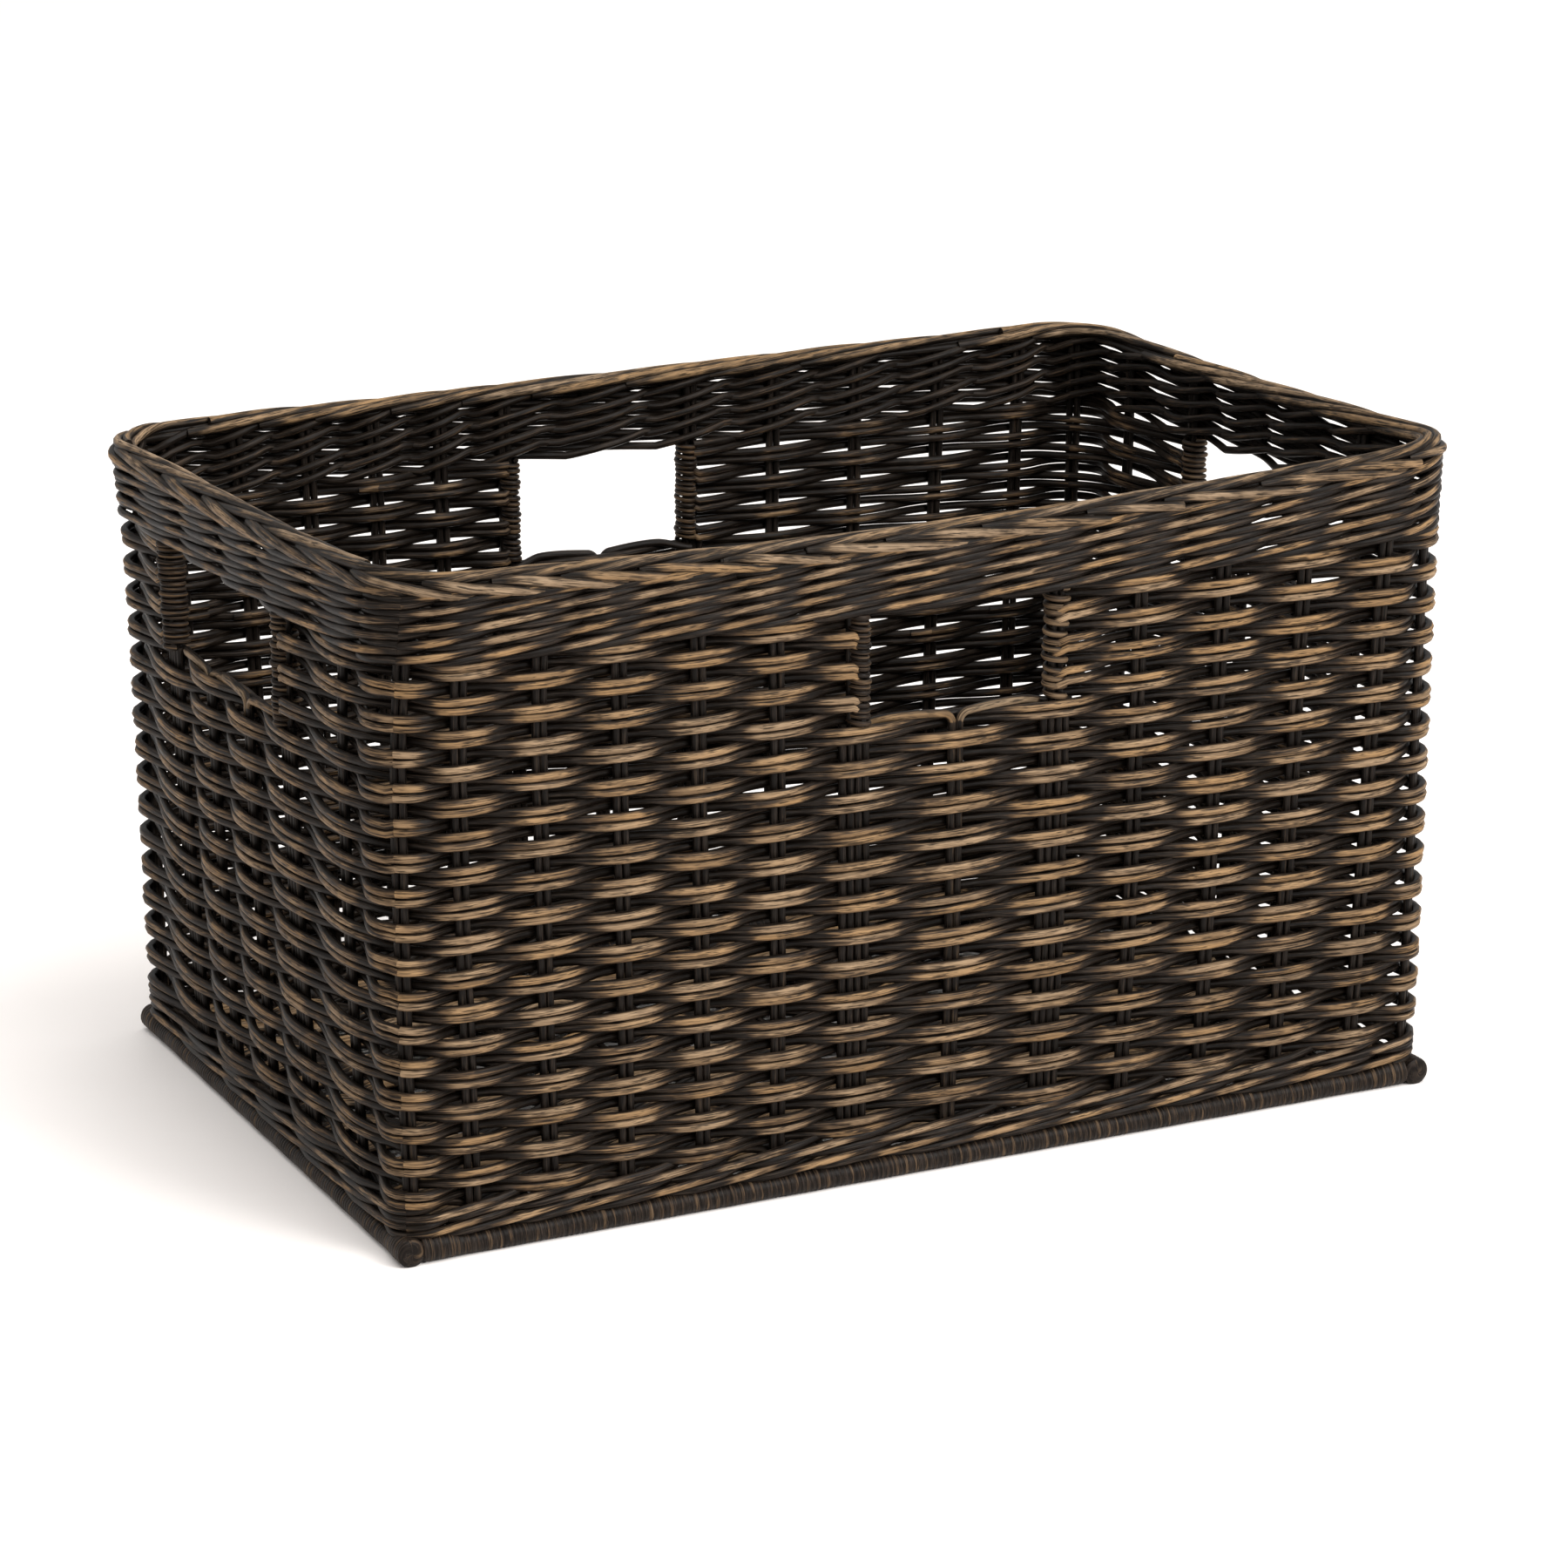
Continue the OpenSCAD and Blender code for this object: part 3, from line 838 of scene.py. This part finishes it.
def border_arm(rods, start, length, sweep, rng, cut):
    """One arm: it comes up out of the rim, runs on top of the others and dives under them."""
    seed = int(rng.integers(1, 9000))
    start = start + rng.uniform(-0.12, 0.12)
    turn = turns(start, start + length * (CUT_LENGTH if cut else 1))
    share = (turn - start) / length
    lean = BORDER_LEAN + sweep * (0.8 * share + 0.2 * smooth(share, 0, 1)) + wander(turn, seed, 0.05)
    sunk = ARM_ROOT * (1 - smooth(share, -0.06, 0.24) * (1 - smooth(share, 0.84, 1.06)))
    depth = BORDER_DEPTH - sunk + wander(turn, seed + 3, 0.3 * MM)
    path, spoke = rim_place(turn, lean, depth)
    radius = BORDER_R * rng.uniform(0.9, 1.06)
    rods.add(path, spoke, spoke, -sunk, radius, rng.random(), border_wear, start=seed)


def plait_border(rods, side):
    """The arms and the core of one side's rim."""
    rng = np.random.default_rng(800 + side)
    for turn in range(START[side], START[side + 1]):
        border_arm(rods, turn + 0.3, *OUTER_ARM, rng, rng.random() < CUT_OUTER)
        border_arm(rods, turn + 0.38, *INNER_ARM, rng, rng.random() < CUT_INNER)
    turn = turns(START[side], START[side + 1])
    for lean in CORE_LEANS:
        path, spoke = rim_place(turn, np.full(len(turn), lean), np.full(len(turn), CORE_DEPTH))
        rods.add(path, spoke, spoke, np.full(len(turn), -ARM_ROOT), CORE_R, rng.random(), border_wear)


# ---------------------------------------------------------------- base
# A pole's binding: spacing of its turns, height of their ridges, thickness past the pole
PEEL_PITCH = 2.9 * MM
PEEL_RIDGE = 0.4 * MM
PEEL_PAST_POLE = 0.35 * MM
# A pole's ends are thicker and rounded
POLE_END_SWELL = 1.3 * MM
POLE_DOME = 2.2 * MM
POLE_STEP = 0.6 * MM
POLE_SIDES = 22
# Distances from a pole's end at which it starts to grow thicker and is at its thickest
SWELL_FROM = 27 * MM
SWELL_FULL = 9 * MM
# Rods woven side by side in one row of the bottom
RODS_IN_ROW = 4
# Rings of a base stick and of a rod of the bottom's weave
STICK_RINGS = 40
BASE_ROD_RINGS = 110


def pole_places(low, high):
    """Places along a pole from end to end, and how narrow it is at each to round its ends."""
    start, end = low + POLE_DOME * 0.4, high - POLE_DOME * 0.4
    run = np.linspace(start, end, round((end - start) / POLE_STEP))
    cap = np.linspace(0, math.pi / 2, 8)[1:]
    place = np.concatenate((start - POLE_DOME * np.sin(cap)[::-1], run, end + POLE_DOME * np.sin(cap)))
    narrow = np.concatenate((np.cos(cap)[::-1], np.ones(len(run)), np.cos(cap)))
    return place, np.maximum(narrow, 0.02)


def wind_pole(name, side):
    """A base pole's binding: peel wound close round it and over its ends."""
    low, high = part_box(name)
    centre = middle(SIDES[side] + "_base_pole")
    radius = centre.z + PEEL_PAST_POLE
    axis = side % 2
    place, narrow = pole_places(low[axis], high[axis])
    angle = np.arange(POLE_SIDES) * 2 * math.pi / POLE_SIDES
    wound = place[:, None] / PEEL_PITCH + angle / (2 * math.pi)
    coil, number = np.mod(wound, 1), np.floor(wound)
    rise = 1 - np.abs(2 * coil - 1) ** 3
    slack = 0.12 * MM * np.sin(number * 12.9898) * rise
    from_end = np.minimum(place - low[axis], high[axis] - place)
    swell = POLE_END_SWELL * (1 - smooth(from_end, SWELL_FULL, SWELL_FROM))[:, None]
    size = (radius + swell - PEEL_RIDGE + PEEL_RIDGE * rise + slack) * narrow[:, None]
    points = np.empty((len(place), POLE_SIDES, 3))
    points[..., axis] = place[:, None]
    points[..., 1 - axis] = centre[1 - axis] + size * np.sin(angle)
    points[..., 2] = np.maximum(centre.z + swell + size * np.cos(angle), 0)
    grain = np.zeros(points.shape)
    grain[..., 0] = angle * radius / MM + number * 41
    grain[..., 1] = coil * PEEL_PITCH / MM
    rub = 0.5 * rise * (0.7 + 0.5 * np.sin(number * 78.233))
    rods = Rods(POLE_SIDES)
    rods.store(points, grain, 0.37 + 0.1 * side, rub)
    faces = (
        ring_quads(0, len(place), POLE_SIDES),
        cap_quads(0, POLE_SIDES)[:, ::-1],
        cap_quads((len(place) - 1) * POLE_SIDES, POLE_SIDES),
    )
    rods.quads.extend(quads[:, ::-1] if axis == 0 else quads for quads in faces)
    return rods


def row_wave(x, row):
    """Height of a row of the bottom's weave: over one pair of sticks and under the next."""
    pitch = PLACES[0][1] - PLACES[0][0]
    before = np.clip(PLACES[0][0] - x, 0, None)
    beyond = np.clip(x - PLACES[0][-1], 0, None)
    stake = np.interp(x, PLACES[0], np.arange(len(PLACES[0]))) + (beyond - before) / pitch
    hand = -1 if row % 2 == 0 else 1
    return hand * (stick_r + BASE_ROD_R) * np.cos(math.pi * stake)


def base_rod(rods, start, end, radius, seed, rings, row=None):
    """A rod across the bottom, in waves if it belongs to a row of weave."""
    share = np.arange(-1, rings + 1) / (rings - 1)
    path = np.array(start) + share[:, None] * (np.array(end) - np.array(start))
    lift = wander(share * 12, seed, 0.15 * MM)
    if row is not None:
        lift = lift + row_wave(path[:, 0], row)
    path[:, 2] += lift
    up = np.tile((0.0, 0.0, 1.0), (len(path), 1))
    tone = np.random.default_rng(seed).random()
    rods.add(path, up, up, lift - 2.6 * MM, radius, tone, proud_wear)


def lay_base():
    """The bottom: pairs of sticks from front to back with rows of weave across them."""
    low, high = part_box("base_sticks")
    z = (low.z + high.z) / 2
    sticks = Rods(sides=8)
    for number, place in enumerate(PLACES[0]):
        for hand in (-1, 1):
            x = place + hand * stick_r
            seed = 900 + 2 * number + hand
            base_rod(sticks, (x, low.y, z), (x, high.y, z), stick_r, seed, STICK_RINGS)
    sticks.build("base_sticks_rods", "stained_stake", "base_sticks")
    low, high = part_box("base_weave")
    rod_pitch = (high.y - low.y) / BASE_ROWS / RODS_IN_ROW
    weave = Rods(sides=6)
    for rod in range(BASE_ROWS * RODS_IN_ROW):
        y = low.y + (rod + 0.5) * rod_pitch
        row = rod // RODS_IN_ROW
        ends = (low.x, y, z), (high.x, y, z)
        base_rod(weave, *ends, BASE_ROD_R, 1000 + rod, BASE_ROD_RINGS, row)
    weave.build("base_weave_rods", "rubbed_weaver", "base_weave")


# ---------------------------------------------------------------- the pieces
def split(count, parts):
    edges = [round(count * i / parts) for i in range(parts + 1)]
    return list(zip(edges[:-1], edges[1:]))


def weave_side(side):
    name = SIDES[side]
    parts = 3 if side % 2 == 0 else 2
    first, last = int(START[side]), int(START[side + 1])
    for number, (low, high) in enumerate(split(COURSES_BELOW_HOLES, parts), 1):
        # The left side's lower rub is painted shade; the lowest courses come out darker towards the
        # bottom.
        rods = Rods(rubbed=SIDE_RUB_AND_SHADE[side] * (LOW_COURSES_DARKER if low == 0 else 1))
        for course in range(low, high):
            weave_course(rods, course, first, last)
        rods.build(f"{name}_weave_lower_rods_{number}", "rubbed_weaver", name + "_weave_lower")
    for hand, jamb, corner in (("left", LEFT_JAMB[side], first), ("right", RIGHT_JAMB[side], last)):
        rods = Rods(rubbed=SIDE_RUB_AND_SHADE[side])
        reach = winding_of(f"{name}_hole_binding_{hand}").reach
        top_course = COURSES_BELOW_HOLES + HOLE_COURSES - 1
        for course in range(COURSES_BELOW_HOLES, top_course, 2):
            weave_beside_hole(rods, course, jamb, corner, reach)
        weave_course(rods, top_course, min(jamb, corner), max(jamb, corner))
        node = f"{name}_weave_{hand}_of_hole"
        rods.build(node + "_rods", "rubbed_weaver", node)


def stand_stakes(side):
    """The stakes of a side from base to rim, those beside its jambs, and those cut at its hole."""
    name = SIDES[side]
    left, right = LEFT_JAMB[side], RIGHT_JAMB[side]
    stakes = Rods()
    stake_group(stakes, [t for t in range(START[side] + 1, START[side + 1]) if not left < t < right])
    side_stakes(stakes, left)
    side_stakes(stakes, right)
    stakes.build(name + "_stakes_rods", "stained_stake", name + "_stakes")
    cut = Rods()
    cut_stakes(cut, side)
    cut.build(name + "_cut_stakes_rods", "stained_stake", name + "_cut_stakes")


def bind_side(side):
    """The windings of a side's hand hole and of its base pole, whose wood is stained too."""
    name = SIDES[side]
    for hand, jamb, over_hole in (("left", LEFT_JAMB[side], 1), ("right", RIGHT_JAMB[side], -1)):
        node = f"{name}_hole_binding_{hand}"
        winding = Rods(sides=8)
        wind_jamb(winding, jamb, over_hole, winding_of(node), 40 + jamb)
        winding.build(node + "_coils", "binding_peel", node)
    node = name + "_pole_binding"
    wind_pole(node, side).build(node + "_coils", "binding_peel", node)
    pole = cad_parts[name + "_base_pole"]
    pole.data.materials.clear()
    pole.data.materials.append(MATERIALS["stained_stake"])


def make_side(side):
    """All the pieces of one side. The top wale has one more row, hidden in the border."""
    name = SIDES[side]
    weave_side(side)
    # On the left side the lower rub stands for painted shade.
    wale = Rods(rubbed=SIDE_RUB_AND_SHADE[side])
    weave_wale(wale, top_wale_z, TOP_WALE_ROWS + 1, side, 600)
    wale.build(name + "_top_wale_rods", "rubbed_weaver", name + "_top_wale")
    wale = Rods(rubbed=SIDE_RUB_AND_SHADE[side])
    weave_wale(wale, bottom_wale_z, BOTTOM_WALE_ROWS, side, 700)
    wale.build(name + "_bottom_wale_rods", "rubbed_weaver", name + "_bottom_wale")
    border = Rods(rubbed=SIDE_RUB_AND_SHADE[side])
    plait_border(border, side)
    border.build(name + "_rim_border_rods", "border_rod", name + "_rim_border")
    stand_stakes(side)
    bind_side(side)


def make_corner_stakes():
    rods = Rods()
    stake_group(rods, [int(turn) for turn in START[:4]])
    rods.build("corner_stakes_rods", "stained_stake", "corner_stakes")


for side_number in range(4):
    make_side(side_number)
make_corner_stakes()
lay_base()


# ---------------------------------------------------------------- floor, light and camera
FLOOR_HALF = 12.0
FLOOR_COLOUR = (0.99, 0.94, 0.905, 1)
WORLD_STRENGTH = 0.66
# A soft sun from the front right
SUN_PLACE = (1.0, -1.5, 2.0)
SUN_ANGLE = math.radians(50)
SUN_STRENGTH = 1.7
# Square lights: place, width and power in watts
SOFT_BOXES = {"key": ((1.2, -2.7, 1.9), 1.2, 50), "top": ((-0.4, -0.2, 3.2), 3.0, 55)}
SOFT_BOX_TARGET = (0, 0, 0.2)


def plain_floor():
    mesh = bpy.data.meshes.new("floor")
    corners = [(x * FLOOR_HALF, y * FLOOR_HALF, 0) for x, y in ((-1, -1), (1, -1), (1, 1), (-1, 1))]
    mesh.from_pydata(corners, [], [(0, 1, 2, 3)])
    floor = bpy.data.objects.new("floor", mesh)
    bpy.context.scene.collection.objects.link(floor)
    look = Look("pale_floor")
    look.shader.inputs["Base Color"].default_value = FLOOR_COLOUR
    look.shader.inputs["Roughness"].default_value = 0.8
    look.shader.inputs["Specular IOR Level"].default_value = 0.1
    mesh.materials.append(look.material)


def add_light(name, kind, place, target, strength):
    """A light at a place, turned towards a target. Returns its data, for its size."""
    data = bpy.data.lights.new(name, kind)
    data.energy = strength
    light = bpy.data.objects.new(name, data)
    light.location = place
    light.rotation_mode = "QUATERNION"
    light.rotation_quaternion = (Vector(target) - Vector(place)).to_track_quat("-Z", "Y")
    bpy.context.scene.collection.objects.link(light)
    return data


def studio_light():
    world = bpy.data.worlds.new("studio")
    world.use_nodes = True
    background = world.node_tree.nodes["Background"]
    background.inputs["Color"].default_value = (1, 1, 1, 1)
    background.inputs["Strength"].default_value = WORLD_STRENGTH
    bpy.context.scene.world = world
    sun = add_light("sun", "SUN", SUN_PLACE, (0, 0, 0), SUN_STRENGTH)
    sun.angle = SUN_ANGLE
    for name, (place, width, power) in SOFT_BOXES.items():
        box = add_light(name, "AREA", place, SOFT_BOX_TARGET, power)
        box.shape = "SQUARE"
        box.size = width


# The camera looks at the target from a distance, then shifts to its own right and up
CAMERA_AZIMUTH = math.radians(-25.04)
CAMERA_ELEVATION = math.radians(16.2)
CAMERA_ROLL = math.radians(-0.79)
CAMERA_DISTANCE = 2.708
CAMERA_TARGET = Vector((0, 0, 0.18))
CAMERA_RIGHT = 10 * MM
CAMERA_UP = -18.7 * MM
CAMERA_LENS = 111.2
CAMERA_SENSOR = 36


def set_camera():
    back = Vector((
        math.sin(CAMERA_AZIMUTH) * math.cos(CAMERA_ELEVATION),
        -math.cos(CAMERA_AZIMUTH) * math.cos(CAMERA_ELEVATION),
        math.sin(CAMERA_ELEVATION),
    ))
    level = Vector((math.cos(CAMERA_AZIMUTH), math.sin(CAMERA_AZIMUTH), 0))
    plumb = back.cross(level)
    right = math.cos(CAMERA_ROLL) * level + math.sin(CAMERA_ROLL) * plumb
    up = back.cross(right)
    data = bpy.data.cameras.new("camera")
    data.lens = CAMERA_LENS
    data.sensor_width = CAMERA_SENSOR
    camera = bpy.data.objects.new("camera", data)
    place = CAMERA_TARGET + back * CAMERA_DISTANCE + right * CAMERA_RIGHT + up * CAMERA_UP
    camera.matrix_world = Matrix((
        (right.x, up.x, back.x, place.x),
        (right.y, up.y, back.y, place.y),
        (right.z, up.z, back.z, place.z),
        (0, 0, 0, 1),
    ))
    bpy.context.scene.collection.objects.link(camera)
    bpy.context.scene.camera = camera


plain_floor()
studio_light()
set_camera()
bpy.context.scene.view_settings.view_transform = "Standard"
